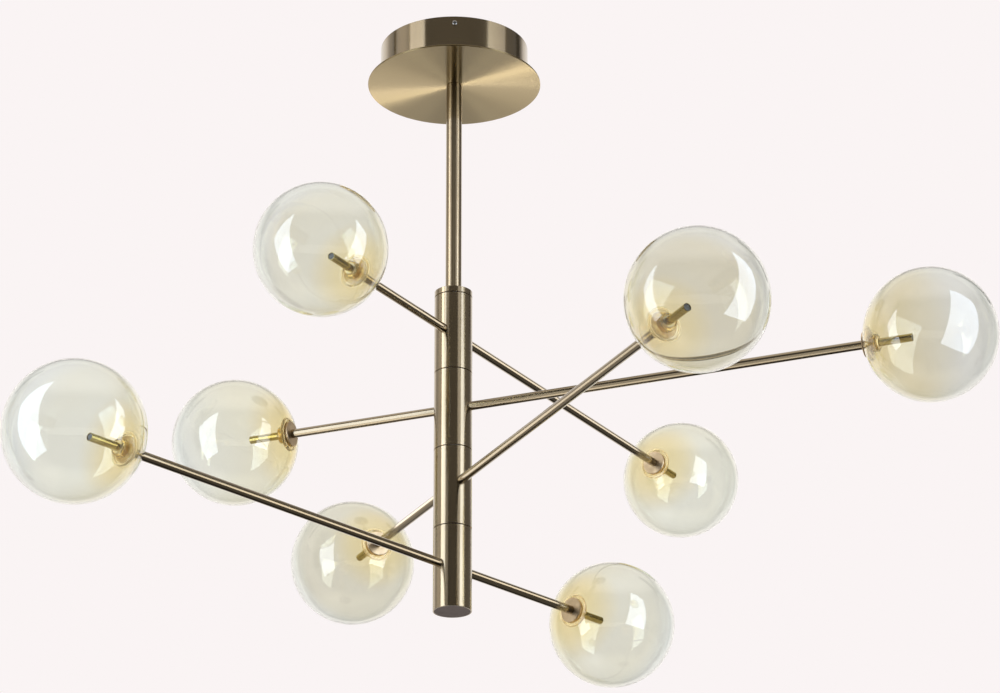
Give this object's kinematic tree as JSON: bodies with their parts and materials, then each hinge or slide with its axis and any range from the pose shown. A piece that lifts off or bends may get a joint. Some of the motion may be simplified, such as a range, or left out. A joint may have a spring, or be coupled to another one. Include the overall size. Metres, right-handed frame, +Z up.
{
  "type": "multi arm chandelier",
  "caption": "Ceiling chandelier with a round canopy, a straight stem and stacked swivelling hubs, each with a short and a long arm that end in clear amber glass globes.",
  "frame": {"origin": "middle of the ceiling bracket's slot pattern, in the plane of the ceiling", "axes": "+Z up, along the stem, out of the ceiling side; the canopy's side screws lie on the Y axis"},
  "size_m": [1.0631, 1.1542, 0.736],
  "materials": {
    "satin_brass": "fine vertical satin over polished brass",
    "spun_brass": "circular brushed",
    "canopy_brass": "satin",
    "turned_brass": "lathe turned",
    "polished_brass": "polished",
    "bright_screw": "bright plated",
    "zinc_plate": "zinc plated",
    "plain_steel": "plain turned",
    "amber_glass": "clear, thin amber tint with a faint lustre",
    "silicone": "matte, translucent",
    "nylon": "matte",
    "driver_case": "matte",
    "terminal_body": "matte",
    "led_optic": "clear lens over a dark reflector",
    "end_cap": "matte"
  },
  "bodies": {
    "root": {"ceiling_bracket": "zinc_plate", "canopy_drum": "canopy_brass", "canopy_disc": "spun_brass", "canopy_screws": "bright_screw", "led_driver": "driver_case", "terminal_block": "terminal_body", "canopy_nipple": "plain_steel", "canopy_nut": "plain_steel", "stem_tube": "satin_brass", "column_cap": "satin_brass", "swivel_nipple_1": "plain_steel", "swivel_nuts_1": "plain_steel", "friction_washer_1": "nylon"},
    "segment_1": {"hub_1": "satin_brass", "hub_lid_1": "turned_brass", "arm_long_1": "satin_brass", "arm_short_1": "satin_brass", "collars_1": "turned_brass", "gaskets_1": "silicone", "globes_1": "amber_glass", "led_tubes_1": "polished_brass", "led_modules_1": "led_optic", "swivel_nipple_2": "plain_steel", "swivel_nuts_2": "plain_steel", "friction_washer_2": "nylon"},
    "segment_2": {"hub_2": "satin_brass", "hub_lid_2": "turned_brass", "arm_long_2": "satin_brass", "arm_short_2": "satin_brass", "collars_2": "turned_brass", "gaskets_2": "silicone", "globes_2": "amber_glass", "led_tubes_2": "polished_brass", "led_modules_2": "led_optic", "swivel_nipple_3": "plain_steel", "swivel_nuts_3": "plain_steel", "friction_washer_3": "nylon"},
    "segment_3": {"hub_3": "satin_brass", "hub_lid_3": "turned_brass", "arm_long_3": "satin_brass", "arm_short_3": "satin_brass", "collars_3": "turned_brass", "gaskets_3": "silicone", "globes_3": "amber_glass", "led_tubes_3": "polished_brass", "led_modules_3": "led_optic", "swivel_nipple_4": "plain_steel", "swivel_nuts_4": "plain_steel", "friction_washer_4": "nylon"},
    "segment_4": {"hub_4": "satin_brass", "hub_lid_4": "turned_brass", "arm_long_4": "satin_brass", "arm_short_4": "satin_brass", "collars_4": "turned_brass", "gaskets_4": "silicone", "globes_4": "amber_glass", "led_tubes_4": "polished_brass", "led_modules_4": "led_optic", "bottom_cap": "end_cap"}
  },
  "joints": [
    {"name": "hub_1_swivel", "type": "hinge", "parent": "root", "child": "segment_1", "pos_m": [0, 0, -0.327], "axis": [0, 0, 1], "range_deg": [-170, 170]},
    {"name": "hub_2_swivel", "type": "hinge", "parent": "segment_1", "child": "segment_2", "pos_m": [0, 0, -0.423], "axis": [0, 0, 1], "range_deg": [-252, 56]},
    {"name": "hub_3_swivel", "type": "hinge", "parent": "segment_2", "child": "segment_3", "pos_m": [0, 0, -0.519], "axis": [0, 0, 1], "range_deg": [-292, 15]},
    {"name": "hub_4_swivel", "type": "hinge", "parent": "segment_3", "child": "segment_4", "pos_m": [0, 0, -0.615], "axis": [0, 0, 1], "range_deg": [-264, 41]}
  ]
}
